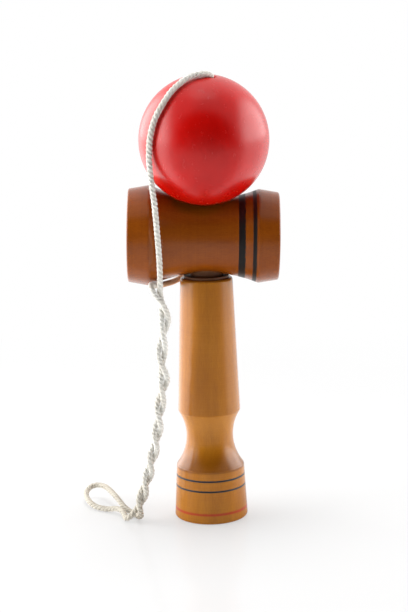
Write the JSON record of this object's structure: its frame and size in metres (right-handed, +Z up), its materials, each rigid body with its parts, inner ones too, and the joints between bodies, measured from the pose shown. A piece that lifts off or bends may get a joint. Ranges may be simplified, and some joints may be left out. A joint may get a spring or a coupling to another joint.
{
  "type": "cup and ball toy",
  "caption": "Wooden cup and ball toy: turned handle with a spike, a cross piece with a big and a small cup, and a painted ball that sits on the spike, tied on by a twisted cotton string",
  "frame": {"origin": "centre of the base, on the floor", "axes": "+Z up along the handle, +X along the cross piece towards the small cup, -Y towards the front"},
  "size_m": [0.0982, 0.0691, 0.2137],
  "materials": {
    "handle_wood": "clear satin lacquer",
    "stained_wood": "brown stain under satin lacquer",
    "red_paint": "glossy red paint",
    "bead_wood": "bare wood",
    "cotton": "laid cotton cord"
  },
  "bodies": {
    "handle": {"handle": "handle_wood", "crosspiece": "stained_wood", "handle_knot": "cotton", "twisted_string": "cotton", "handle_string": "cotton"},
    "string_lead": {"ball_string": "cotton"},
    "bead": {"string_bead": "bead_wood", "ball_knot": "cotton"},
    "ball": {"ball": "red_paint"}
  },
  "joints": [
    {"name": "ball_lift", "type": "slide", "parent": "handle", "child": "string_lead", "axis": [0, 0, 1], "range_m": [0, 0.04], "deforming": ["ball_string"]},
    {"name": "ball_rock", "type": "hinge", "parent": "string_lead", "child": "bead", "pos_m": [0, 0, 0.13636], "axis": [0.9996, 0, -0.0279], "range_deg": [-22, 0]},
    {"name": "ball_spin", "type": "hinge", "parent": "bead", "child": "ball", "pos_m": [0.00028, -0.00888, 0.18207], "axis": [0.1317, -0.1898, 0.973], "continuous": true}
  ]
}
